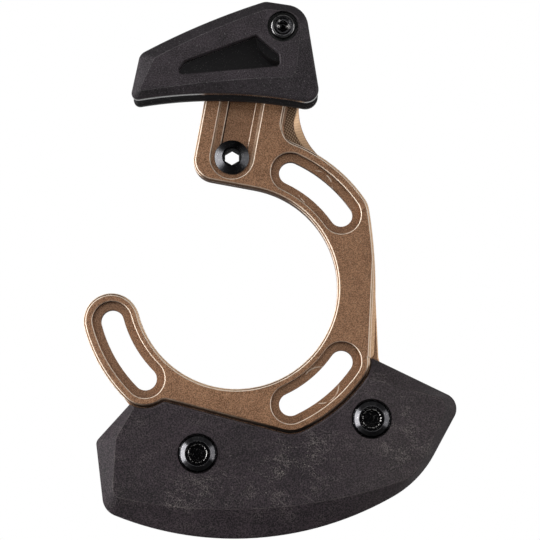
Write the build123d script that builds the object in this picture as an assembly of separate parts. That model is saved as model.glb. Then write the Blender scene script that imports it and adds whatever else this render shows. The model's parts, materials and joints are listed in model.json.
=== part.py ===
from build123d import *
import os
from math import cos, hypot, radians, sin, sqrt

# Bicycle chain guide with a bash guard, for a three-bolt bottom bracket mount.
# X points forward, Z points up and -Y points outboard, towards the chain.
# The origin is the bottom bracket axis on the rear mounting face. Sizes are in millimetres.
# Outlines are drawn in the side view, and heights are measured outboard from the mounting face.

# Mounting ring
bolt_circle_radius = 36.5
upper_slot_angle = 50.0
lower_slot_angle = -50.0
rear_slot_angle = -150.0
slot_sweep = 30.0
slot_width = 6.5
head_pocket_width = 11.2
head_pocket_depth = 3.2
bore_wall = 2.15
rim_wall = 2.5
front_edge_bow = 1.65
front_toe_inset = 0.55
front_toe_rise = 1.0
front_toe_radius = 2.0
front_bevel_lean = 2.7
lower_edge_slope = -14.9
notch_radius = 2.6
plate_thickness = 6.0
ledge_thickness = 3.0
edge_chamfer = 0.8
pocket_edge_chamfer = 0.25
ledge_chamfer = 0.3

# Tab that carries the upper guide, leaning forward
tab_lean = 10.5
tab_rear_reach = 18.8
tab_front_reach = 5.0
tab_length = 31.25
tab_corner_radius = 6.0
tab_notch_radius = 4.2
tab_bevel = 1.5
tab_bevel_notch_radius = 5.6
flange_reach = 7.85
flange_notch_radius = 18.5
flange_bevel_width = 0.5
flange_bevel_height = 1.2
flange_top_notch_radius = 9.0

# Lugs behind the bash guard
lug_radius = 7.0
ledge_width = 3.0
front_ledge_step = 0.85
front_ledge_rise = 22.0
front_ledge_inset = 0.1
front_ledge_radius = 3.0

# Height adjuster
adjuster_offset = 8.05
adjuster_rise = 7.7
channel_width = 12.4
channel_depth = 1.6
slot_end_wall = 2.7
height_bolt_diameter = 7.0
height_bolt_head_diameter = 9.8
height_bolt_head_height = 2.4
height_bolt_rim_height = 1.0
height_bolt_cone_width = 2.1
height_bolt_mouth_diameter = 5.6
height_bolt_throat_diameter = 4.8
height_bolt_mouth_depth = 0.7
height_bolt_slot_clearance = 0.3
height_bolt_rear_gap = 0.3

# Carrier of the upper guide
stalk_width = 11.0
carrier_head_gap = 1.0
carrier_corner_radius = 5.5
carrier_screw_spread = 11.0

# Upper guide, set out from its screw
guide_screw_offset = 0.15
guide_screw_rise = 13.2
guide_plate_clearance = 0.3
inner_plate_thickness = 3.0
chain_gap = 9.2
outer_plate_thickness = 5.0
guide_bevel_height = 1.8
guide_rim_radius = 1.2
guide_face_radius = 0.8
guide_rear_chamfer = 0.4
chain_edge_chamfer = 0.8
spacer_radius = 7.9
spacer_offset = (0.5, -1.5)
peg_diameter = 3.0
peg_length = 2.0
peg_reach = 4.6

# Outlines of the upper guide: places forward of and above its screw, each with its corner radius
guide_rim_corners = [(-42.9, -20.85, 1.8), (-40.1, -7.6, 3.0), (-4.9, 7.4, 4.0), (6.35, 5.65, 6.4),
                     (10.85, -22.05, 3.6)]
guide_rim_bow = (-22.7, 0.8)
guide_rim_arch = (-16.2, -18.7)
guide_face_corners = [(-40.6, -18.6, 0.8), (-35.8, -8.9, 2.0), (-4.7, 4.8, 3.0), (5.8, 4.0, 5.0),
                      (3.4, -14.2, 2.4)]
guide_face_bow = (-20.5, -1.4)
guide_face_arch = (-19.2, -15.7)
window_corners = [(-30.4, -13.65), (-27.5, -9.8), (-7.35, -2.4), (-0.95, -7.75), (-0.85, -11.2)]
window_corner_radius = 1.1
window_edge_chamfer = 0.3

# Guide screw
guide_screw_diameter = 4.0
guide_screw_length = 18.5
guide_screw_head_diameter = 7.0
guide_screw_head_height = 3.4
guide_screw_head_radius = 0.9
guide_screw_mouth_diameter = 5.0
guide_screw_mouth_depth = 0.5
guide_screw_pocket_diameter = 8.7
guide_screw_pocket_depth = 3.0

# Small countersunk screws from the carrier into the inner plate
carrier_screw_diameter = 4.0
carrier_screw_head_diameter = 7.6
carrier_screw_length = 8.5
plate_boss_diameter = 7.4
plate_boss_length = 3.2

# Bash guard
bash_height = 8.0
bash_rim_height = 4.2
bash_rim_radius = 1.0
bash_face_radius = 0.6
bash_gap = 0.4
bash_rear_bolt_angle = -102.9
bash_rear_bolt_step = 3.7
bash_front_bolt_angle = -44.25
bash_front_bolt_step = 8.85

# Outlines of the bash guard: places forward of and above its rear bolt, each corner with its radius
bash_rim_rear_end = (-14.8, 19.1)
bash_rim_rear_corners = [(-28.95, 3.5, 2.2), (-26.6, -16.1, 5.6)]
bash_rim_keel = (10.2, -23.95)
bash_face_rear_end = (-14.7, 18.9)
bash_face_rear_corners = [(-23.0, 4.6, 2.0), (-24.2, -12.0, 3.0)]
bash_face_keel = (9.3, -15.6)

# Outlines of the bash guard: places forward of and above its front bolt, each corner with its radius
bash_rim_front_corners = [(14.1, -16.75, 30.0), (25.9, 5.0, 4.5)]
bash_rim_front_end = (-5.3, 20.1)
bash_face_front_corners = [(12.1, -16.3, 9.0), (22.5, 5.1, 3.5)]
bash_face_front_end = (-5.3, 12.8)

# Bash guard bolts
bash_bolt_diameter = 6.0
bash_bolt_head_diameter = 10.6
bash_bolt_head_height = 2.9
bash_bolt_rim_height = 1.8
bash_bolt_cone_width = 1.65
bash_bolt_mouth_diameter = 5.4
bash_bolt_mouth_depth = 0.45
bash_bolt_pocket_diameter = 11.4
bash_bolt_pocket_depth = 1.9
bash_bolt_rear_gap = 0.3
star_core_radius = 2.0
star_lobe_radius = 0.55
star_lobe_reach = 2.1

# Keys and fits shared by the pieces
height_bolt_key = 4.0
guide_screw_key = 3.0
carrier_screw_key = 2.5
socket_depth = 1.8
tip_chamfer = 0.4
slide_clearance = 0.2
thread_clearance = 0.05
screw_hole_clearance = 0.2
seat_clearance = 0.3
cut_margin = 1.0
level_margin = 0.01


def polar(radius, angle):
    return (radius * cos(radians(angle)), radius * sin(radians(angle)))


def in_tab(across, along):
    """Point of the side view, given across and along the leaning tab."""
    lean = radians(tab_lean)
    return (across * cos(lean) + along * sin(lean), along * cos(lean) - across * sin(lean))


def slab(outline, rear, front):
    """Solid of an outline in the side view, between two heights."""
    return extrude(Plane.XZ.offset(rear) * outline, amount=front - rear, dir=(0, -1, 0))


def at(place, height):
    """Frame on a point of the side view, its own Z pointing outboard."""
    return Plane(origin=(place[0], -height, place[1]), x_dir=(1, 0, 0), z_dir=(0, -1, 0))


def disc(place, radius):
    return Pos(*place) * Circle(radius)


def turned(*profile):
    """Round solid about Z, from pairs of radius and height."""
    outline = Polyline(*[(radius, 0, height) for radius, height in profile], close=True)
    return revolve(make_face(outline), Axis.Z)


def rounded(outline, corners):
    """Outline with the corners nearest the given places rounded to their radii."""
    for place, radius in corners:
        outline = fillet(outline.vertices().sort_by_distance(place)[0], radius)
    return outline


def front_edges(solid):
    """Edges round the outermost flat face of a solid."""
    return solid.faces().sort_by(Axis.Y)[0].edges()


def rear_edges(solid):
    """Edges round the innermost flat face of a solid."""
    return solid.faces().sort_by(Axis.Y)[-1].edges()


def at_level(shapes, height):
    """Those of the edges or faces that lie at one height."""
    return shapes.filter_by_position(Axis.Y, -height - level_margin, -height + level_margin)


def opening_edges(solid, height):
    """Edges of the openings in the flat faces at one height."""
    faces = at_level(solid.faces().filter_by(Axis.Y), height)
    return [edge for face in faces for wire in face.inner_wires() for edge in wire.edges()]


# Places that several pieces share
bore_radius = bolt_circle_radius - head_pocket_width / 2 - bore_wall
rim_radius = bolt_circle_radius + head_pocket_width / 2 + rim_wall
ring_radius = (rim_radius + bore_radius) / 2
cap_radius = (rim_radius - bore_radius) / 2
spine_radius = (bore_radius + 2 * ring_radius) / 3
tab_top = bore_radius + tab_length
adjuster_foot = bore_radius + adjuster_rise
bolt_slot_width = height_bolt_diameter + 2 * height_bolt_slot_clearance
adjuster_travel = tab_length - adjuster_rise - bolt_slot_width / 2 - slot_end_wall
height_bolt_place = in_tab(-adjuster_offset, adjuster_foot)
channel_floor = plate_thickness - channel_depth
stalk_thickness = ledge_thickness - slide_clearance
inner_plate_rear = plate_thickness + guide_plate_clearance
inner_plate_front = inner_plate_rear + inner_plate_thickness
outer_plate_rear = inner_plate_front + chain_gap
outer_plate_front = outer_plate_rear + outer_plate_thickness
guide_screw_place = in_tab(-guide_screw_offset, tab_top + guide_screw_rise)
guide_screw_seat = outer_plate_front - guide_screw_pocket_depth
carrier_screw_along = tab_top + carrier_head_gap + carrier_corner_radius
carrier_screw_places = {
    "carrier_screw_rear": in_tab(-adjuster_offset - carrier_screw_spread / 2, carrier_screw_along),
    "carrier_screw_front": in_tab(-adjuster_offset + carrier_screw_spread / 2, carrier_screw_along),
}
bash_rear_bolt = polar(rim_radius + bash_rear_bolt_step, bash_rear_bolt_angle)
bash_front_bolt = polar(rim_radius + bash_front_bolt_step, bash_front_bolt_angle)
bash_bolt_places = {"bash_bolt_rear": bash_rear_bolt, "bash_bolt_front": bash_front_bolt}
bash_bolt_seat = bash_height - bash_bolt_pocket_depth


# Backplate

def ring_slot(radius, middle, width):
    """Curved slot round the bottom bracket axis."""
    return SlotArc(CenterArc((0, 0), radius, middle - slot_sweep / 2, slot_sweep), width)


def lobe_end(middle, side):
    """Centre of one rounded end of a lobe, with side -1 or 1 along the ring."""
    return polar(ring_radius, middle + side * slot_sweep / 2)


def front_edge_reach():
    """How far the bowed front edge comes out, just past the front lobes."""
    return lobe_end(upper_slot_angle, -1)[0] + cap_radius + front_edge_bow


def ring_sector(start, end, radius):
    """Part of the ring between two angles, out to a radius."""
    arc = CenterArc((0, 0), radius, start, end - start)
    return make_face([Line((0, 0), arc @ 0), arc, Line(arc @ 1, (0, 0))]) - Circle(bore_radius)


def front_web():
    """Web between the two front slots, its bowed edge tangent to the upper lobe and ended by a toe."""
    low = lobe_end(lower_slot_angle, 1)
    high = lobe_end(upper_slot_angle, -1)
    middle = (low[1] + high[1]) / 2
    tip = front_edge_reach()
    reach = tip - high[0]
    rise = high[1] - middle
    bow = (reach ** 2 + rise ** 2 - cap_radius ** 2) / (2 * (reach - cap_radius))
    centre = tip - bow
    away = hypot(high[0] - centre, rise)
    touch = centre + bow * (high[0] - centre) / away
    spread = bow * rise / away
    toe = (tip - front_toe_inset, low[1] + front_toe_rise)
    lower_edge = TangentArc((tip, middle), toe, tangent=(0, -1))
    upper_edge = TangentArc((tip, middle), (touch, middle + spread), tangent=(0, 1))
    sides = [Line(upper_edge @ 1, high), Line(high, low), Line(low, toe)]
    return rounded(make_face([lower_edge, upper_edge, *sides]), [(toe, front_toe_radius)])


def lower_web():
    """Web between the lower and rear lobes, whose straight lower edge is tangent to the lower lobe."""
    slope = radians(lower_edge_slope)
    lower = lobe_end(lower_slot_angle, -1)
    rear = lobe_end(rear_slot_angle, 1)
    touch = (lower[0] + cap_radius * sin(slope), lower[1] - cap_radius * cos(slope))
    run = (touch[0] - rear[0]) * cos(slope) + (touch[1] - rear[1]) * sin(slope)
    foot = (touch[0] - run * cos(slope), touch[1] - run * sin(slope))
    drop = hypot(rear[0] - foot[0], rear[1] - foot[1])
    reach = sqrt(cap_radius ** 2 - drop ** 2)
    notch = (foot[0] + reach * cos(slope), foot[1] + reach * sin(slope))
    return make_face(Polyline(touch, foot, rear, lower, close=True)), notch


def tab_sheet(front_reach, notch):
    """Leaning tab, its foot tangent to the bore and its front edge filleted into the rim."""
    corner = (-tab_rear_reach, bore_radius)
    tab = Pos(*corner) * Rectangle(tab_rear_reach + front_reach, tab_length, align=Align.MIN)
    tab = Rot(0, 0, -tab_lean) * rounded(tab, [(corner, tab_corner_radius)])
    sheet = tab + ring_sector(upper_slot_angle - slot_sweep / 2, 90 - tab_lean, rim_radius)
    return rounded(sheet, [(in_tab(front_reach, sqrt(rim_radius ** 2 - front_reach ** 2)), notch)])


def plate_outline():
    """Full-thickness outline of the backplate."""
    ring = ring_sector(rear_slot_angle, 90 - tab_lean, spine_radius)
    for middle in (upper_slot_angle, lower_slot_angle, rear_slot_angle):
        ring += ring_slot(ring_radius, middle, 2 * cap_radius)
    web, notch = lower_web()
    ring += web + front_web()
    return rounded(ring, [(notch, notch_radius)]) + tab_sheet(tab_front_reach, tab_notch_radius)


def front_bevel_cut():
    """What lies outside an inclined plane, tangent to the lower lobe, that widens the front chamfer."""
    low = lobe_end(lower_slot_angle, 1)
    high = lobe_end(upper_slot_angle, -1)
    lean = radians(front_bevel_lean)
    reach = cap_radius - edge_chamfer
    start = (low[0] + reach * cos(lean), -plate_thickness, low[1] - reach * sin(lean))
    bevel = Plane(origin=start, x_dir=(sin(lean), 0, cos(lean)), z_dir=(cos(lean), -1, -sin(lean)))
    length = high[1] - low[1]
    sides = (Align.MIN, Align.CENTER, Align.MIN)
    return bevel * Box(length, plate_thickness, plate_thickness, align=sides)


def tab_bevel_cut():
    """What lies outside the wide bevel along the tab's front edge and its notch."""
    shoulder = plate_thickness - tab_bevel
    foot = tab_sheet(tab_front_reach, tab_notch_radius)
    top = tab_sheet(tab_front_reach - tab_bevel, tab_bevel_notch_radius)
    bevel = [Plane.XZ.offset(shoulder) * foot, Plane.XZ.offset(plate_thickness) * top]
    reach = tab_front_reach + tab_bevel_notch_radius
    zone = Pos(0, ring_radius) * Rectangle(reach, tab_top - ring_radius, align=Align.MIN)
    return slab(Rot(0, 0, -tab_lean) * zone, shoulder, plate_thickness) - loft(bevel, ruled=True)


def flange():
    """Thin flange along the front of the tab, with a bevel that widens down its curve."""
    shoulder = ledge_thickness - flange_bevel_height
    foot = tab_sheet(flange_reach, flange_notch_radius)
    top = tab_sheet(flange_reach - flange_bevel_width, flange_top_notch_radius)
    bevel = [Plane.XZ.offset(shoulder) * foot, Plane.XZ.offset(ledge_thickness) * top]
    return slab(foot, 0, shoulder) + loft(bevel, ruled=True)


def ledge_outline():
    """Thin rear level behind the bash guard: bands along the plate's edge and a lug for each bolt."""
    low = lobe_end(lower_slot_angle, 1)
    reach = front_edge_reach() + front_ledge_step
    strip_middle = front_edge_reach() - front_ledge_inset - front_ledge_radius
    strip_end = disc((strip_middle, low[1] + front_ledge_rise), front_ledge_radius)
    shoulder = disc((reach - cap_radius, low[1]), cap_radius)
    front_lug = disc(bash_front_bolt, lug_radius)
    lower_lobe = disc(lobe_end(lower_slot_angle, -1), cap_radius + ledge_width)
    rear_lug = disc(bash_rear_bolt, lug_radius)
    rear_lobe = disc(lobe_end(rear_slot_angle, 1), cap_radius)
    bands = [strip_end + shoulder, shoulder + front_lug, front_lug + lower_lobe,
             lower_lobe + rear_lug + rear_lobe]
    outline = Sketch() + [make_hull(band.edges()) for band in bands]
    return outline - Circle(bore_radius)


def adjuster_slot():
    """Straight slot along the tab, as long as the travel of the height bolt."""
    middle = (-adjuster_offset, adjuster_foot + adjuster_travel / 2)
    slot = SlotCenterToCenter(adjuster_travel, bolt_slot_width, rotation=90)
    return Rot(0, 0, -tab_lean) * Pos(*middle) * slot


def tab_strip(width, top):
    """Round-ended strip along the tab, from the height bolt up."""
    foot = (-adjuster_offset, adjuster_foot)
    strip = Pos(*foot) * Rectangle(width, top - adjuster_foot, align=(Align.CENTER, Align.MIN))
    return Rot(0, 0, -tab_lean) * (strip + disc(foot, width / 2))


def channel_cut():
    """Channel for the head of the height bolt, flared at the face and run out at the top of the tab."""
    top = tab_top + cut_margin
    mouth = plate_thickness - pocket_edge_chamfer
    foot = tab_strip(channel_width, top)
    flare = [Plane.XZ.offset(mouth) * foot,
             Plane.XZ.offset(plate_thickness) * tab_strip(channel_width + 2 * pocket_edge_chamfer, top)]
    return slab(foot, channel_floor, mouth) + loft(flare, ruled=True)


def backplate():
    plate = slab(plate_outline(), 0, plate_thickness)
    plate = chamfer(front_edges(plate), edge_chamfer)
    plate -= front_bevel_cut()
    plate -= tab_bevel_cut()
    plate += flange()
    ledge = slab(ledge_outline(), 0, ledge_thickness)
    plate += chamfer(front_edges(ledge), ledge_chamfer)
    for middle in (upper_slot_angle, lower_slot_angle, rear_slot_angle):
        slot = ring_slot(bolt_circle_radius, middle, slot_width)
        pocket = ring_slot(bolt_circle_radius, middle, head_pocket_width)
        plate -= slab(slot, -cut_margin, plate_thickness)
        plate -= slab(pocket, plate_thickness - head_pocket_depth, plate_thickness + cut_margin)
    plate = chamfer(opening_edges(plate, plate_thickness), pocket_edge_chamfer)
    plate -= channel_cut()
    plate -= slab(adjuster_slot(), 0, plate_thickness)
    plate = chamfer(opening_edges(plate, channel_floor), pocket_edge_chamfer)
    groove = tab_strip(stalk_width + 2 * slide_clearance, tab_top + cut_margin)
    plate -= slab(groove, -cut_margin, ledge_thickness)
    thread = bash_bolt_diameter / 2 + thread_clearance
    for place in bash_bolt_places.values():
        plate -= slab(disc(place, thread), -cut_margin, ledge_thickness + cut_margin)
    return plate


# Carrier and its fasteners

def guide_carrier():
    carrier = slab(tab_strip(stalk_width, carrier_screw_along), 0, stalk_thickness)
    corners = [guide_screw_place, *carrier_screw_places.values()]
    discs = [disc(place, carrier_corner_radius).edge() for place in corners]
    head = slab(make_hull(discs), 0, inner_plate_rear)
    carrier += chamfer(rear_edges(head), ledge_chamfer)
    height_thread = height_bolt_diameter / 2 + thread_clearance
    carrier -= slab(disc(height_bolt_place, height_thread), -cut_margin, plate_thickness)
    guide_thread = guide_screw_diameter / 2 + thread_clearance
    carrier -= slab(disc(guide_screw_place, guide_thread), -cut_margin, inner_plate_rear + cut_margin)
    seat = inner_plate_rear - plate_boss_length - screw_hole_clearance
    hole = carrier_screw_diameter / 2 + screw_hole_clearance
    sink = carrier_screw_head_diameter / 2 + screw_hole_clearance
    socket = plate_boss_diameter / 2 + screw_hole_clearance
    for place in carrier_screw_places.values():
        bore = turned((0, 0), (sink, 0), (hole, sink - hole), (hole, seat), (socket, seat),
                      (socket, inner_plate_rear), (0, inner_plate_rear))
        carrier -= at(place, 0) * bore
    return carrier


def hex_hole(key, bottom, top):
    """Hexagonal hole about Z, its corners up and down."""
    outline = RegularPolygon(key / 2, 6, major_radius=False, rotation=30)
    return extrude(Pos(0, 0, bottom) * outline, top - bottom)


def height_bolt():
    """Hollow bolt with a low conical head, open right through its hexagon."""
    seat = channel_floor + slide_clearance
    tip = height_bolt_rear_gap - seat
    shank = height_bolt_diameter / 2
    rim = height_bolt_head_diameter / 2
    crown = rim - height_bolt_cone_width
    mouth = height_bolt_mouth_diameter / 2
    throat = height_bolt_throat_diameter / 2
    top = height_bolt_head_height
    floor = top - height_bolt_mouth_depth
    body = turned((0, tip), (shank - tip_chamfer, tip), (shank, tip + tip_chamfer), (shank, 0), (rim, 0),
                  (rim, height_bolt_rim_height), (crown, top), (mouth, top), (throat, floor), (0, floor))
    return at(height_bolt_place, seat) * (body - hex_hole(height_bolt_key, tip - cut_margin, top))


def guide_screw():
    rim = guide_screw_head_diameter / 2
    shank = guide_screw_diameter / 2
    tip = -guide_screw_length
    top = guide_screw_head_height
    mouth = guide_screw_mouth_diameter / 2
    floor = top - guide_screw_mouth_depth
    body = turned((0, tip), (shank - tip_chamfer, tip), (shank, tip + tip_chamfer), (shank, 0), (rim, 0),
                  (rim, top), (mouth, top), (mouth - guide_screw_mouth_depth, floor), (0, floor))
    top_edges = body.edges().filter_by(GeomType.CIRCLE).group_by(Axis.Z)[-1]
    body = fillet(top_edges.sort_by(SortBy.RADIUS)[-1], guide_screw_head_radius)
    body -= hex_hole(guide_screw_key, floor - socket_depth, top)
    return at(guide_screw_place, guide_screw_seat) * body


def carrier_screw(place):
    """Countersunk screw, its flat head on the mounting face's level."""
    rim = carrier_screw_head_diameter / 2
    shank = carrier_screw_diameter / 2
    tip = carrier_screw_length
    body = turned((0, 0), (rim, 0), (shank, rim - shank), (shank, tip - tip_chamfer),
                  (shank - tip_chamfer, tip), (0, tip))
    return at(place, 0) * (body - hex_hole(carrier_screw_key, -cut_margin, socket_depth))


# Upper guide plates

def from_guide_screw(forward, up):
    return (guide_screw_place[0] + forward, guide_screw_place[1] + up)


def guide_sheet(corners, bow, arch):
    """Outline of a guide plate, with a bowed upper edge and an arched lower edge."""
    places = [from_guide_screw(forward, up) for forward, up, radius in corners]
    rear_edge = Line(*places[:2])
    upper_edge = ThreePointArc(places[1], from_guide_screw(*bow), places[2])
    front_run = Polyline(*places[2:])
    lower_edge = ThreePointArc(places[-1], from_guide_screw(*arch), places[0])
    outline = make_face([rear_edge, upper_edge, *front_run.edges(), lower_edge])
    return rounded(outline, [(place, corner[2]) for place, corner in zip(places, corners)])


def guide_rim():
    """Outline that both plates share."""
    return guide_sheet(guide_rim_corners, guide_rim_bow, guide_rim_arch)


def guide_window():
    places = [from_guide_screw(*corner) for corner in window_corners]
    outline = make_face(Polyline(*places, close=True))
    return rounded(outline, [(place, window_corner_radius) for place in places])


def peg_place():
    return from_guide_screw(-peg_reach, 0)


def inner_guide_plate():
    """Plate with the spacer that sets the chain gap and two bosses that locate it in the carrier."""
    plate = slab(guide_rim(), inner_plate_rear, inner_plate_front)
    plate = chamfer(front_edges(plate), chain_edge_chamfer)
    spacer = disc(from_guide_screw(*spacer_offset), spacer_radius) & guide_rim()
    plate += slab(spacer, inner_plate_rear, outer_plate_rear)
    for place in carrier_screw_places.values():
        boss = disc(place, plate_boss_diameter / 2)
        plate += slab(boss, inner_plate_rear - plate_boss_length, inner_plate_rear)
        thread = disc(place, carrier_screw_diameter / 2 + thread_clearance)
        plate -= slab(thread, 0, carrier_screw_length + screw_hole_clearance)
    hole = disc(guide_screw_place, guide_screw_diameter / 2 + screw_hole_clearance)
    plate -= slab(hole, 0, outer_plate_rear + cut_margin)
    peg_hole = disc(peg_place(), peg_diameter / 2 + screw_hole_clearance)
    plate -= slab(peg_hole, outer_plate_rear - peg_length - seat_clearance, outer_plate_rear + cut_margin)
    return plate


def outer_guide_plate():
    """Bevelled plate with a window, a pocket for the screw and a peg into the spacer."""
    shoulder = outer_plate_front - guide_bevel_height
    plate = slab(guide_rim(), outer_plate_rear, shoulder)
    face = guide_sheet(guide_face_corners, guide_face_bow, guide_face_arch)
    crown = [Plane.XZ.offset(shoulder) * guide_rim(), Plane.XZ.offset(outer_plate_front) * face]
    plate += loft(crown, ruled=True)
    plate = fillet(at_level(plate.edges(), shoulder), guide_rim_radius)
    plate = fillet(front_edges(plate), guide_face_radius)
    plate = chamfer(rear_edges(plate), guide_rear_chamfer)
    plate -= slab(guide_window(), outer_plate_rear - cut_margin, outer_plate_front + cut_margin)
    plate = chamfer(opening_edges(plate, outer_plate_front), window_edge_chamfer)
    pocket = disc(guide_screw_place, guide_screw_pocket_diameter / 2)
    plate -= slab(pocket, guide_screw_seat, outer_plate_front + cut_margin)
    hole = disc(guide_screw_place, guide_screw_diameter / 2 + screw_hole_clearance)
    plate -= slab(hole, outer_plate_rear - cut_margin, guide_screw_seat + cut_margin)
    plate += slab(disc(peg_place(), peg_diameter / 2), outer_plate_rear - peg_length, outer_plate_rear)
    return plate


# Bash guard and its bolts

def beside(bolt, places):
    """Places of the side view, given forward of and above a bash bolt."""
    return [(bolt[0] + place[0], bolt[1] + place[1]) for place in places]


def bash_sheet(rear_end, rear_corners, keel, front_corners, front_end):
    """Outline of the guard: corners, a curved keel, and a way back along the spine of the ring."""
    start = lower_slot_angle + slot_sweep / 2
    end = rear_slot_angle + slot_sweep / 2
    spine = CenterArc((0, 0), spine_radius, start, end - start)
    rear_side = beside(bash_rear_bolt, [rear_end, *rear_corners, keel])
    front_side = beside(bash_front_bolt, [*front_corners, front_end])
    rear_run = Polyline(spine @ 1, *rear_side[:-1])
    front_run = Polyline(*front_side, spine @ 0)
    keel_edge = ThreePointArc(*rear_side[-2:], front_side[0])
    outline = make_face([*rear_run.edges(), keel_edge, *front_run.edges(), spine])
    corners = zip(rear_side[1:-1] + front_side[:-1], rear_corners + front_corners)
    return rounded(outline, [(place, corner[2]) for place, corner in corners])


def bash_guard():
    rim = bash_sheet(bash_rim_rear_end, bash_rim_rear_corners, bash_rim_keel, bash_rim_front_corners,
                     bash_rim_front_end)
    face = bash_sheet(bash_face_rear_end, bash_face_rear_corners, bash_face_keel, bash_face_front_corners,
                      bash_face_front_end)
    guard = slab(rim, 0, bash_rim_height)
    crown = [Plane.XZ.offset(bash_rim_height) * rim, Plane.XZ.offset(bash_height) * face]
    guard += loft(crown, ruled=True)
    guard -= slab(offset(plate_outline(), bash_gap), -cut_margin, bash_height + cut_margin)
    guard = fillet(front_edges(guard), bash_face_radius)
    guard = fillet(at_level(guard.edges(), bash_rim_height), bash_rim_radius)
    guard -= slab(offset(ledge_outline(), seat_clearance), -cut_margin, ledge_thickness)
    for place in bash_bolt_places.values():
        guard -= slab(disc(place, bash_bolt_diameter / 2 + screw_hole_clearance), 0, bash_height)
        guard -= slab(disc(place, bash_bolt_pocket_diameter / 2), bash_bolt_seat, bash_height + cut_margin)
    return guard


def bash_bolt(place):
    """Bolt with a conical rim round a flat crown, and a six-lobe socket with a conical mouth."""
    tip = bash_bolt_rear_gap - bash_bolt_seat
    shank = bash_bolt_diameter / 2
    rim = bash_bolt_head_diameter / 2
    crown = rim - bash_bolt_cone_width
    mouth = bash_bolt_mouth_diameter / 2
    top = bash_bolt_head_height
    floor = top - bash_bolt_mouth_depth
    body = turned((0, tip), (shank - tip_chamfer, tip), (shank, tip + tip_chamfer), (shank, 0), (rim, 0),
                  (rim, bash_bolt_rim_height), (crown, top), (mouth, top),
                  (mouth - bash_bolt_mouth_depth, floor), (0, floor))
    star = Circle(star_core_radius) + PolarLocations(star_lobe_reach, 6) * Circle(star_lobe_radius)
    body -= extrude(Pos(0, 0, floor - socket_depth) * star, socket_depth)
    return at(place, bash_bolt_seat) * body


pieces = {
    "backplate": backplate(),
    "guide_carrier": guide_carrier(),
    "height_bolt": height_bolt(),
    "inner_guide_plate": inner_guide_plate(),
    "outer_guide_plate": outer_guide_plate(),
    "guide_screw": guide_screw(),
    "bash_guard": bash_guard(),
}
pieces.update({name: carrier_screw(place) for name, place in carrier_screw_places.items()})
pieces.update({name: bash_bolt(place) for name, place in bash_bolt_places.items()})

os.makedirs("parts", exist_ok=True)
for name, piece in pieces.items():
    export_step(piece, f"parts/{name}.step")
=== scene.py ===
import json
from math import atan2, cos, hypot, pi, radians, sin
import bpy
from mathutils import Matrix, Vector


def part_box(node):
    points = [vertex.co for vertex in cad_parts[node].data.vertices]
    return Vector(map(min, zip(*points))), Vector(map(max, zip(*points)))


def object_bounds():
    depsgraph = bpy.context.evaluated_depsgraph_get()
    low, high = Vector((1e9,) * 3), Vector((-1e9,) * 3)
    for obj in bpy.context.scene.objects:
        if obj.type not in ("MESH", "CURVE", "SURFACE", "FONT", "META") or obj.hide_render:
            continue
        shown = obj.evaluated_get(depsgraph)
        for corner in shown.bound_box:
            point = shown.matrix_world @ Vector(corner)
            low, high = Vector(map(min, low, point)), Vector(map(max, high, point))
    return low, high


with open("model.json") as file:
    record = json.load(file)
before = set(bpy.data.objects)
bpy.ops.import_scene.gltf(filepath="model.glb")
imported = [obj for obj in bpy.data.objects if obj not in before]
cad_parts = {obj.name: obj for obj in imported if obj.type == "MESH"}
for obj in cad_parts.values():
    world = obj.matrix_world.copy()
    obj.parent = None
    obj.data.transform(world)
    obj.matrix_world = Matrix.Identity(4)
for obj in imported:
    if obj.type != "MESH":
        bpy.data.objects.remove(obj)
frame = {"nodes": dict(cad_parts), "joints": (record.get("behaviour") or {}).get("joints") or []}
cad_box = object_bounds()
nodes = frame["nodes"]
bpy.ops.object.select_all(action="DESELECT")


# Backplate
# One plate milled from 6 mm aluminium, bead blasted and anodised bronze. The cutter leaves it C-shaped round
# the bottom bracket, and bolt heads have rubbed its slot pockets. Three bolts fix it. Its pale edge lines are
# partly wear and partly painted highlight, and painted shade darkens walls turned away from the light.

def fill(node, sockets):
    """Gives a node's sockets their values or links."""
    for key, value in sockets.items():
        if isinstance(value, Shade):
            node.id_data.links.new(value.socket, node.inputs[key])
        else:
            node.inputs[key].default_value = value


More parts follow.
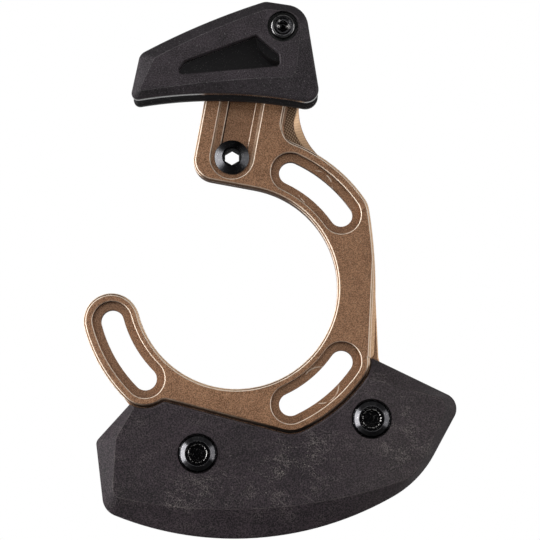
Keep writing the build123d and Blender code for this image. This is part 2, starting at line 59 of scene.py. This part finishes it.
class Shade:
    """A socket of a node tree, so that shader maths reads as plain expressions."""

    def __init__(self, tree, socket=None):
        self.tree = tree
        self.socket = socket

    def node(self, kind, settings, inputs, output=0):
        """Adds a node to the tree, sets it, fills its sockets, and gives one of its outputs."""
        added = self.tree.nodes.new(kind)
        for name, value in settings.items():
            setattr(added, name, value)
        fill(added, inputs)
        return Shade(self.tree, added.outputs[output])

    def maths(self, operation, first, second=0.0):
        return self.node("ShaderNodeMath", {"operation": operation}, {0: first, 1: second})

    def __add__(self, other):
        return self.maths("ADD", self, other)

    def __radd__(self, other):
        return self.maths("ADD", other, self)

    def __sub__(self, other):
        return self.maths("SUBTRACT", self, other)

    def __rsub__(self, other):
        return self.maths("SUBTRACT", other, self)

    def __mul__(self, other):
        return self.maths("MULTIPLY", self, other)

    def __rmul__(self, other):
        return self.maths("MULTIPLY", other, self)

    def __abs__(self):
        return self.maths("ABSOLUTE", self)

    def vector_maths(self, operation, other, output):
        return self.node("ShaderNodeVectorMath", {"operation": operation}, {0: self, 1: other}, output)

    def distance(self, centre):
        return self.vector_maths("DISTANCE", centre, "Value")

    def dot(self, other):
        return self.vector_maths("DOT_PRODUCT", other, "Value")

    def axis(self, name):
        """One coordinate of a vector."""
        return self.node("ShaderNodeSeparateXYZ", {}, {"Vector": self}, name)

    def squeezed(self, scales):
        """Coordinates scaled on each axis, so that a pattern is drawn out along the small ones."""
        return self.vector_maths("MULTIPLY", scales, "Vector")

    def flattened(self):
        """Coordinates brought onto the mounting face, so that distances leave out the height."""
        return self.squeezed((1.0, 0.0, 1.0))

    def lines(self, pitch):
        """Value from 0 to 1 that rises and falls once a pitch."""
        return 0.5 + 0.5 * self.maths("SINE", self * (2 * pi / pitch))

    def noise(self, scale, detail, roughness):
        """Cloudy value from 0 to 1 at these coordinates, with scale in waves a metre."""
        inputs = {"Vector": self, "Scale": scale, "Detail": detail, "Roughness": roughness}
        return self.node("ShaderNodeTexNoise", {}, inputs)

    def ramp(self, start, end):
        """0 below start, 1 above end, and smooth between them."""
        settings = {"interpolation_type": "SMOOTHSTEP"}
        return self.node("ShaderNodeMapRange", settings, {"Value": self, "From Min": start, "From Max": end})

    def fall(self, start, end):
        """1 below start, 0 above end, and smooth between them."""
        return 1 - self.ramp(start, end)

    def band(self, low, high, soft):
        """1 between two values, falling to 0 over a soft edge outside them."""
        return self.ramp(low - soft, low) * self.fall(high, high + soft)

    def near(self, value, gap, soft):
        """1 within a gap of a value, falling to 0 over a soft edge outside it."""
        return self.band(value - gap, value + gap, soft)

    def blend(self, first, second):
        """Colour that goes from the first to the second as this value goes from 0 to 1."""
        settings = {"data_type": "RGBA"}
        return self.node("ShaderNodeMix", settings, {"Factor": self, "A": first, "B": second}, "Result")

    def relief(self, strength, depth):
        """Direction in which a surface faces that this value raises by up to a depth."""
        return self.node("ShaderNodeBump", {}, {"Strength": strength, "Distance": depth, "Height": self})


def new_finish(name):
    """An empty material and the Object coordinates that its patterns read."""
    material = bpy.data.materials.new(name)
    material.use_nodes = True
    return material, Shade(material.node_tree).node("ShaderNodeTexCoord", {}, {}, "Object")


def surface_facing(place):
    """Direction in which the bare surface faces, in the same axes as its coordinates."""
    return place.node("ShaderNodeTexCoord", {}, {}, "Normal")


def layered(colour, layers):
    """A colour under layers, each a mask and the colour that it lays over those before it."""
    for mask, layer in layers:
        colour = mask.blend(colour, layer)
    return colour


def dress(material, sockets):
    """Fills the sockets of a material's own shader."""
    fill(material.node_tree.nodes["Principled BSDF"], sockets)


def srgb(red, green, blue):
    """Linear colour from the usual 0 to 255 values."""
    return tuple((value / 255) ** 2.2 for value in (red, green, blue)) + (1.0,)


def bolt_axis(name):
    """Point on the mounting face that a bolt's axis passes through."""
    low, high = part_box(name)
    return ((low[0] + high[0]) / 2, 0.0, (low[2] + high[2]) / 2)


soft_edge = 0.0001
fine_edge = 0.00002
line_edge = 0.00001
floor_gap = 0.00003
plate_thickness = 0.006
rim_foot = 0.0057
chamfer_foot = 0.0052
chamfer_line = 0.00018
chamfer_strip = (0.00544, 0.00566)
strip_edge = 0.00004
bolt_circle = 0.0365
pocket_floor = 0.0028
pocket_reach = 0.0059
bolt_marks = [(52.0, 0.0050), (-49.0, 0.0052)]
mark_width = (0.00006, 0.0002)
flange_level = 0.003
flange_wall = (0.0019, 0.0029)
flange_middle = (0.0163, -0.003, 0.0455)
flange_reach = 0.011
hatch_pitch = 0.00065
hatch_centres = [(0.004, -0.003, 0.030), (0.040, -0.003, 0.034)]
cutter_pitch = 0.0008
cutter_direction = (-0.3, 0.0, 1.0)
channel_floor = 0.0044
channel_feet = [(0.00545, 0.0062, 0.55), (-0.0062, -0.0057, 0.35)]
slot_line = (0.00418, 0.00437)
slot_side = (0.0042, 0.0043)
slot_reach = (0.0215, 0.0225)
stalk_face = 0.0028
stalk_gap = 0.0001
stalk_edge = 0.00005
stalk_shadow = (-0.0040, -0.0035)
back_edge = (0.0001, 0.0002)
low_shade_levels = (-0.040, -0.036)
away_from_light_direction = (0.45, 0.0, -0.89)
lit_direction = (0.8, 0.0, 0.6)
lit_foot = (0.0003, 0.0004)
lit_turn = (0.00003, 0.00008)
blast_depth = 0.00003

cloud_pattern = (140.0, 4.0, 0.6)
mottle_pattern = (900.0, 3.0, 0.65)
grain_pattern = (3200.0, 2.0, 0.7)
speck_pattern = (3400.0, 1.0, 0.5)
streak_pattern = (1300.0, 3.0, 0.6)
mark_pattern = (300.0, 2.0, 0.5)

bronze_tones = (srgb(109, 78, 56), srgb(171, 130, 99))
hatch_tones = (srgb(94, 70, 52), srgb(176, 146, 116))
lit_tones = (srgb(194, 152, 114), srgb(228, 188, 149))
pale_speck = srgb(215, 188, 160)
# Tool-marked bevel colour, lightened as a painted highlight.
cut_bronze_and_highlight = srgb(205, 172, 138)
shaded_chamfer_bronze = srgb(82, 58, 41)
# Colour of the painted highlight at the feet of the channel walls.
foot_highlight_bronze = srgb(226, 200, 172)
# Painted shade colour for walls turned away from the light.
wall_shade_bronze = srgb(36, 24, 16)
stalk_dark = srgb(30, 20, 14)
# Painted shade colour for the low walls above the bash guard.
low_shade_bronze = srgb(22, 15, 11)
# Pale metal for worn edges and for painted edge highlights.
bare_metal_and_highlight = srgb(238, 220, 200)

bronze, place = new_finish("bronze_anodised_finish")
height = 0 - place.axis("Y")
flat = place.flattened()
facing = surface_facing(place)
cloud = place.noise(*cloud_pattern)
mottle = place.noise(*mottle_pattern)
grain = place.noise(*grain_pattern)
tone = (0.12 * cloud + 0.13 * mottle + 0.75 * grain).ramp(0.41, 0.59)
speck = place.noise(*speck_pattern).ramp(0.68, 0.78)

past_circle = flat.distance((0.0, 0.0, 0.0)) - bolt_circle
near_flange = place.distance(flange_middle).fall(0.9 * flange_reach, flange_reach)
near_flange = near_flange * abs(past_circle).ramp(pocket_reach, pocket_reach + soft_edge)
hatched = near_flange * height.near(flange_level, floor_gap, fine_edge)
hatch = sum(place.distance(centre).lines(hatch_pitch) for centre in hatch_centres).ramp(0.7, 1.9)
# The bevel below the flange floor is painted lighter with cutter lines: the lines are tool marks and the
# lightness is a painted highlight.
beside_flange = near_flange * height.band(*flange_wall, fine_edge)
cutter = place.dot(cutter_direction).lines(cutter_pitch)

# Painted shade: walls that face down, or down and to the right, away from the light, are darkened and dulled.
downward = 0 - facing.axis("Z")
facing_away_from_light = (facing.dot(away_from_light_direction).ramp(0.2, 0.7) + downward.ramp(0.4, 0.8)).ramp(0.0, 1.0)
painted_wall_shade = facing_away_from_light * height.band(soft_edge, rim_foot, soft_edge)
# Painted shade: the low walls above the bash guard that face away from the light are darkened.
painted_low_shade = facing_away_from_light * place.axis("Z").fall(*low_shade_levels)
# Painted shade: a darker strip across the middle of the front chamfers.
chamfer_shade = height.band(*chamfer_strip, strip_edge)
lit_side = facing.dot(lit_direction).ramp(0.2, 0.6) * height.ramp(*lit_foot) * (1 - near_flange)
lit_side = lit_side * (past_circle * facing.dot(flat)).ramp(*lit_turn)

height_axis = bolt_axis("height_bolt")
slide = frame["joints"][0]["axis"]
sideways = (slide[2], 0.0, -slide[0])
aside = place.dot(sideways) - sum(a * b for a, b in zip(height_axis, sideways))
near_slot = place.distance(height_axis).fall(*slot_reach)
streaks = place.noise(*streak_pattern).ramp(0.3, 0.7)
# Painted highlight: light streaky bands on the channel floor at the feet of its walls, where the walls would
# catch the light.
painted_foot_highlight = sum(share * aside.band(low, high, soft_edge) for low, high, share in channel_feet)
painted_foot_highlight = painted_foot_highlight * near_slot * height.near(channel_floor, floor_gap, fine_edge) * (0.5 + 0.5 * streaks)
shadow = near_slot * aside.band(*stalk_shadow, soft_edge) * height.near(stalk_face, stalk_gap, stalk_edge)

# Pale lines on the face edges, the chamfer feet and the slot: partly wear and partly painted highlight,
# fainter on edges turned away from the light. The arcs on the pocket floors are rub marks from the bolt
# heads.
rim_wear_and_highlight = height.band(rim_foot, plate_thickness - fine_edge, line_edge)
foot_wear_and_highlight = height.band(chamfer_foot - fine_edge, chamfer_foot + chamfer_line, line_edge)
slot_wear_and_highlight = near_slot * height.band(*slot_line, fine_edge) * abs(aside).fall(*slot_side)
rubbed_and_highlit_edge = rim_wear_and_highlight * (1 - 0.6 * facing_away_from_light) * (1 - painted_low_shade) + foot_wear_and_highlight * (1 - facing_away_from_light) + 0.8 * slot_wear_and_highlight
marks = 0
for angle, radius in bolt_marks:
    middle = (bolt_circle * cos(radians(angle)), -pocket_floor, bolt_circle * sin(radians(angle)))
    marks = marks + abs(place.distance(middle) - radius).fall(*mark_width)
marks = marks * height.near(pocket_floor, floor_gap, fine_edge) * place.noise(*mark_pattern).ramp(0.47, 0.56)
wear_and_highlight = rubbed_and_highlit_edge * (0.7 + 0.3 * mottle.ramp(0.35, 0.6)) + 0.8 * marks

dress(bronze, {
    "Base Color": layered(tone.blend(*bronze_tones), [
        (0.6 * speck, pale_speck),
        (hatched, hatch.blend(*hatch_tones)),
        (beside_flange * (0.6 + 0.3 * cutter), cut_bronze_and_highlight),
        (0.85 * painted_wall_shade, wall_shade_bronze),
        (0.7 * chamfer_shade, shaded_chamfer_bronze),
        (0.9 * lit_side, tone.blend(*lit_tones)),
        (painted_foot_highlight, foot_highlight_bronze),
        (0.85 * shadow, stalk_dark),
        (0.85 * painted_low_shade * height.ramp(*back_edge), low_shade_bronze),
        (wear_and_highlight, bare_metal_and_highlight),
    ]),
    "Metallic": 1 - 0.8 * painted_wall_shade - 0.8 * wear_and_highlight - 0.2 * painted_low_shade - 0.6 * lit_side,
    "Roughness": 0.48 + 0.14 * grain + 0.3 * painted_wall_shade,
    "Coat Weight": 0.35 * (1 - painted_wall_shade) * (1 - chamfer_shade),
    "Coat Roughness": 0.3,
    "Normal": grain.relief(0.3, blast_depth),
})
nodes["backplate"].data.materials[0] = bronze


# Carrier of the upper guide
# A small bronze aluminium slide behind the tab. Its stalk runs in the groove of the backplate, the hollow
# height bolt clamps it through the slot, and its head carries the guide plates.
nodes["guide_carrier"].data.materials[0] = bronze


# Bolts and screws
# Steel fasteners with a glossy black oxide finish, turned and then broached for their keys. The height bolt
# is hollow, the bash guard's two have six-lobe sockets, and the others take hexagon keys.
def head_front(name):
    """Depth of the front face of a bolt's head."""
    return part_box(name)[0][1]


mouth_radius = 0.00255
glint_width = (0.00006, 0.00018)
lip_depth = (0.0002, 0.0004)
cone_radii = (0.0036, 0.0048)
bolt_reach = (2.0 * cone_radii[1], 2.1 * cone_radii[1])
drill_radii = (0.0007, 0.0017)
drill_depth = 0.00055
rim_radii = (0.0029, 0.0035)
glint_spots = [(0.0015, -0.0001, 0.0008), (-0.0013, 0.0002, 0.0006), (-0.0010, 0.0016, 0.0005)]
matt_reach = (0.0057, 0.0060)
bore_radius = 0.0024
flank_turn = (0.25, 0.6)

smudge_pattern = (600.0, 3.0, 0.6)
glint_pattern = (2600.0, 1.0, 0.5)
glint_spot_pattern = (1600.0, 2.0, 0.6)
speck_pattern = (4500.0, 1.0, 0.5)

oxide_tones = (srgb(60, 60, 62), srgb(74, 73, 75))
matt_oxide = srgb(66, 66, 68)
# Painted shade colour for bolt faces turned from the light.
flank_shade_steel = srgb(22, 22, 23)
# Near-black painted shade for sockets, recesses and the bore.
recess_shade_black = srgb(14, 14, 15)
# Pale steel for specks, and for painted glints.
bare_steel_and_glint = srgb(200, 198, 196)

black_steel, place = new_finish("black_steel_finish")
flat = place.flattened()
facing = surface_facing(place)
smudge = place.noise(*smudge_pattern)
speck = place.noise(*speck_pattern).ramp(0.68, 0.76)
# Painted shade: the bolt faces that turn up, down or to the right are darkened.
painted_flank_shade = 0.7 * abs(facing.axis("Z")).ramp(*flank_turn) + 0.5 * facing.axis("X").ramp(*flank_turn)

# Painted highlight: broken bright rings at the socket lips of the bash guard's bolts stand in for glints on
# the lobes.
lip_glints = 0
# Painted shade: the sockets and the flats round the cones are painted near black.
painted_recess_shade = 0
for name in ("bash_bolt_rear", "bash_bolt_front"):
    from_axis = flat.distance(bolt_axis(name))
    painted_recess_shade = painted_recess_shade + from_axis.fall(*bolt_reach) * (1 - from_axis.band(*cone_radii, soft_edge))
    lip = (place.axis("Y") - head_front(name)).fall(*lip_depth)
    lip_glints = lip_glints + lip * abs(from_axis - mouth_radius).fall(*glint_width)
lip_glints = lip_glints * place.noise(*glint_pattern).ramp(0.50, 0.58)

screw_axis = bolt_axis("guide_screw")
from_axis = flat.distance(screw_axis)
painted_recess_shade = painted_recess_shade + from_axis.fall(drill_radii[0], drill_radii[0] + soft_edge)
drilled = drill_depth * from_axis.ramp(*drill_radii)
# Painted highlight: bright crescents on the guide screw's rim and spots in its socket stand in for lit
# facets.
painted_socket_glints = 0.25 * from_axis.band(*rim_radii, soft_edge)
for right, above, reach in glint_spots:
    glint_centre = (screw_axis[0] + right, 0.0, screw_axis[2] + above)
    painted_socket_glints = painted_socket_glints + flat.distance(glint_centre).fall(0.4 * reach, reach)
painted_socket_glints = painted_socket_glints * place.noise(*glint_spot_pattern).ramp(0.30, 0.55)

matt = place.distance((height_axis[0], head_front("height_bolt"), height_axis[2])).fall(*matt_reach)
# Painted shade: the bore of the height bolt is painted near black.
shaded_bore = flat.distance(height_axis).fall(bore_radius, bore_radius + soft_edge)

dress(black_steel, {
    "Base Color": layered(smudge.ramp(0.3, 0.7).blend(*oxide_tones), [
        (matt, matt_oxide),
        (painted_flank_shade, flank_shade_steel),
        (painted_recess_shade + shaded_bore, recess_shade_black),
        (0.3 * speck + lip_glints + 0.7 * painted_socket_glints, bare_steel_and_glint),
    ]),
    "Metallic": 1 - shaded_bore,
    "Roughness": 0.18 + 0.08 * smudge + 0.3 * lip_glints + 0.11 * matt + 0.6 * shaded_bore,
    "Normal": drilled.relief(1.0, 1.0),
})
for name in ("height_bolt", "guide_screw", "carrier_screw_rear", "carrier_screw_front",
             "bash_bolt_rear", "bash_bolt_front"):
    nodes[name].data.materials[0] = black_steel


# Upper guide plates
# Two plates moulded in black nylon with a fine spark-eroded grain, held apart by the spacer on the inner one,
# so that the chain runs between them. One screw through both holds them to the carrier.
nylon_face = 0.0235
nylon_crease = (nylon_face - 0.00006, nylon_face - 0.00001)
crease_edge = 0.000005
chain_side = 0.0185
side_top = 0.0210
smooth_foot = 0.0190
smooth_edge = 0.0002
inner_low = 0.0065
screw_pocket_radius = 0.0044
screw_pocket_mouth = (nylon_face - 0.0004, nylon_face - 0.0002)
facet_turn = (0.1, 0.4)
grain_relief = (0.5, 0.00006)
moulding_sheen = 0.3

cloud_pattern = (190.0, 4.0, 0.6)
grain_pattern = (3400.0, 2.0, 0.65)
dust_pattern = (4200.0, 0.0, 0.5)

nylon_tones = (srgb(17, 14, 16), srgb(66, 59, 64))
shaded_nylon = srgb(15, 13, 16)
pocket_shade_nylon = srgb(5, 5, 6)
# Pale grey for dust specks and for painted crease highlights.
pale_dust_and_highlight = srgb(150, 147, 146)

nylon, place = new_finish("black_nylon_finish")
height = 0 - place.axis("Y")
upward = surface_facing(place).axis("Z")
cloud = place.noise(*cloud_pattern)
grain = place.noise(*grain_pattern)
tone = (0.2 * cloud + 0.8 * grain).ramp(0.36, 0.64)
dust = place.noise(*dust_pattern).ramp(0.72, 0.82)
shaded = 0.5 * upward.ramp(*facet_turn) + 0.35 * (0 - upward).ramp(*facet_turn)
# Painted shade: the inner plate, from just in front of its back up to the chain side, is darkened.
inner_plate_shade = height.band(inner_low, chain_side + soft_edge, soft_edge)
from_screw = place.flattened().distance(screw_axis)
# Painted shade: the pocket round the guide screw's head is painted near black.
pocket_shade = from_screw.fall(screw_pocket_radius, screw_pocket_radius + soft_edge)
pocket_shade = pocket_shade * height.fall(*screw_pocket_mouth)
# Light lines on the creases of the face: partly wear and partly painted highlight.
crease_wear_and_highlight = height.band(*nylon_crease, crease_edge) * (0.5 + 0.5 * cloud.ramp(0.4, 0.6))

dress(nylon, {
    "Base Color": layered(tone.blend(*nylon_tones), [
        (shaded * height.ramp(chain_side, side_top), shaded_nylon),
        (inner_plate_shade, shaded_nylon),
        (pocket_shade, pocket_shade_nylon),
        (0.3 * dust + 0.1 * crease_wear_and_highlight, pale_dust_and_highlight),
    ]),
    "Roughness": (0.56 + 0.2 * grain) * (1 - 0.6 * height.band(smooth_foot, side_top, smooth_edge)),
    "Specular IOR Level": moulding_sheen,
    "Normal": grain.relief(*grain_relief),
})
for name in ("inner_guide_plate", "outer_guide_plate"):
    nodes[name].data.materials[0] = nylon


# Bash guard
# A thick black polymer moulding under the ring that takes the knocks, bevelled all round so that it slides
# over rocks. Two bolts hold it to the thin lugs of the backplate, and its face is scuffed grey.
guard_face = 0.008
guard_crease = (guard_face - 0.0001, guard_face - 0.00001)
greyer_right_span = (0.02, 0.045)
scuff_places = [(0.014, -0.056, 0.014), (-0.003, -0.055, 0.012), (0.020, -0.048, 0.014),
                (0.043, -0.030, 0.011), (0.048, -0.043, 0.014), (-0.016, -0.058, 0.010)]
scratch_turn = radians(-35.0)
scratch_draw = (0.07, 1.0, 1.0)
smear_draw = (1.0, 1.0, 1.6)

cloud_pattern = (80.0, 5.0, 0.65)
smear_pattern = (170.0, 8.0, 0.8)
grain_pattern = (2400.0, 3.0, 0.7)
scratch_pattern = (1500.0, 2.0, 0.5)
nick_pattern = (3800.0, 0.0, 0.5)

polymer_tones = (srgb(15, 12, 14), srgb(61, 52, 57))
scuffed_grey = srgb(130, 123, 119)

polymer, place = new_finish("black_polymer_finish")
height = 0 - place.axis("Y")
cloud = place.noise(*cloud_pattern)
smear = place.squeezed(smear_draw).noise(*smear_pattern)
grain = place.noise(*grain_pattern)
tone = (0.15 * cloud + 0.85 * grain).ramp(0.38, 0.62)
# The face turns a little greyer towards its right end.
greyer_right_end = place.axis("X").ramp(*greyer_right_span)
scuffed = 0
for across, up, reach in scuff_places:
    scuffed = scuffed + place.distance((across, -guard_face, up)).fall(0.0, reach)
scuffed = scuffed.ramp(0.0, 1.0)
rubbed = (0.25 + 0.75 * scuffed) * smear.ramp(0.48, 0.70) * grain.ramp(0.42, 0.62)
turned = place.node("ShaderNodeMapping", {}, {"Vector": place, "Rotation": (0.0, scratch_turn, 0.0)})
scratched = turned.squeezed(scratch_draw).noise(*scratch_pattern).ramp(0.66, 0.74) * scuffed
nick = place.noise(*nick_pattern).ramp(0.71, 0.77) * (0.3 + 0.7 * scuffed) * smear.ramp(0.42, 0.58)
# Light lines on the creases of the face: partly wear and partly painted highlight.
crease_wear_and_highlight = height.band(*guard_crease, crease_edge) * (0.4 + 0.6 * smear.ramp(0.42, 0.6))

dress(polymer, {
    "Base Color": layered(tone.blend(*polymer_tones), [
        (0.055 * greyer_right_end, scuffed_grey),
        (0.55 * rubbed + 0.7 * nick + 0.35 * scratched + 0.14 * crease_wear_and_highlight, scuffed_grey),
    ]),
    "Roughness": 0.55 + 0.2 * cloud,
    "Specular IOR Level": moulding_sheen,
    "Normal": grain.relief(*grain_relief),
})
nodes["bash_guard"].data.materials[0] = polymer


# Floor
# A plain pale sheet well below, because the guide is held in the air by its mount. The camera sees it pale,
# and so do reflections of what lies behind, but in front it is dim, so that low edges stay dark.
def ray_kind(tree, name):
    """1 for rays of one kind, and 0 for the others."""
    return Shade(tree).node("ShaderNodeLightPath", {}, {}, name)


def mirror_rays(tree):
    """1 for rays that come from a reflection or a refraction, and 0 for the others."""
    return (ray_kind(tree, "Is Glossy Ray") + ray_kind(tree, "Is Transmission Ray")).ramp(0.0, 1.0)


def grey(level):
    """Linear grey of one level."""
    return (level, level, level, 1.0)


floor_drop = 0.45
floor_size = 6.0
floor_fade = (0.0, 0.5)
floor_greys = (grey(0.2), grey(0.35))
floor_glow = (grey(0.0), grey(0.62))
lowest = cad_box[0][2]
bpy.ops.mesh.primitive_plane_add(size=floor_size, location=(0, 0, lowest - floor_drop))
floor = bpy.context.object
floor.name = "floor"
floor_paint, place = new_finish("floor_paint")
seen = ray_kind(floor_paint.node_tree, "Is Camera Ray")
behind = place.axis("Y").ramp(*floor_fade)
shown = seen + behind * mirror_rays(floor_paint.node_tree)
dress(floor_paint, {
    "Base Color": seen.blend(*floor_greys),
    "Roughness": 0.9,
    "Emission Color": shown.blend(*floor_glow),
    "Emission Strength": 1.0,
})
floor.data.materials.append(floor_paint)


# Studio light
# A strong tall soft box at the left and a weaker one at the right, turned well round to the side so that they
# pick out edges and bolt heads, a faint one overhead, two in front, and a white room that is dark in front.
object_middle = (0.01, -0.004, 0.004)
lamps = [
    ("left_light", (-0.74, -0.31, 0.03), (0.25, 0.95), 9.5),
    ("right_light", (0.74, -0.31, 0.0), (0.25, 0.7), 3.0),
    ("top_light", (0.0, -0.32, 0.75), (0.6, 0.25), 0.15),
    ("front_left_light", (-0.20, -0.77, 0.06), (0.3, 0.3), 0.72),
    ("front_right_light", (0.20, -0.77, 0.06), (0.3, 0.3), 0.52),
]
for name, stand, (wide, tall), watts in lamps:
    bpy.ops.object.light_add(type="AREA", location=stand)
    lamp = bpy.context.object
    lamp.name = name
    lamp.data.shape = "RECTANGLE"
    lamp.data.size = wide
    lamp.data.size_y = tall
    lamp.data.energy = watts
    right, away, up = [middle - start for middle, start in zip(object_middle, stand)]
    lamp.rotation_euler = (atan2(hypot(right, away), -up), 0, atan2(-right, away))

room_front = 0.08
room_back = 0.6
mirror_front = 0.08
mirror_side = 0.35
mirror_back = 1.0
front_fade = (-0.9, -0.3)
back_fade = (0.0, 0.6)
room = bpy.data.worlds.new("white_room")
room.use_nodes = True
bpy.context.scene.world = room
rearward = Shade(room.node_tree).node("ShaderNodeTexCoord", {}, {}, "Generated").axis("Y")
seen = ray_kind(room.node_tree, "Is Camera Ray")
mirrored = mirror_rays(room.node_tree)
mirror_level = mirror_front + (mirror_side - mirror_front) * rearward.ramp(*front_fade)
mirror_level = mirror_level + (mirror_back - mirror_side) * rearward.ramp(*back_fade)
room_level = room_front + (room_back - room_front) * rearward.ramp(*back_fade)
strength = seen + (1 - seen) * (mirrored * mirror_level + (1 - mirrored) * room_level)
fill(room.node_tree.nodes["Background"], {"Color": grey(1.0), "Strength": strength})


# Camera
# A long lens a little below the middle of the plate and tilted up to it, as the walls that show in depth in
# the photograph ask.
camera_place = (0.0096, -0.800, -0.0645)
view_middle = (0.0096, -0.003, 0.00526)
focal_pixels = 2806.0
frame_pixels = 540.0
sensor = 36.0
nearest_seen = 0.05
bpy.ops.object.camera_add(location=camera_place)
camera = bpy.context.object
camera.data.sensor_width = sensor
camera.data.lens = sensor * focal_pixels / frame_pixels
camera.data.clip_start = nearest_seen
rise = atan2(view_middle[2] - camera_place[2], view_middle[1] - camera_place[1])
camera.rotation_euler = (pi / 2 + rise, 0, 0)
bpy.context.scene.camera = camera
bpy.context.scene.view_settings.view_transform = "Standard"
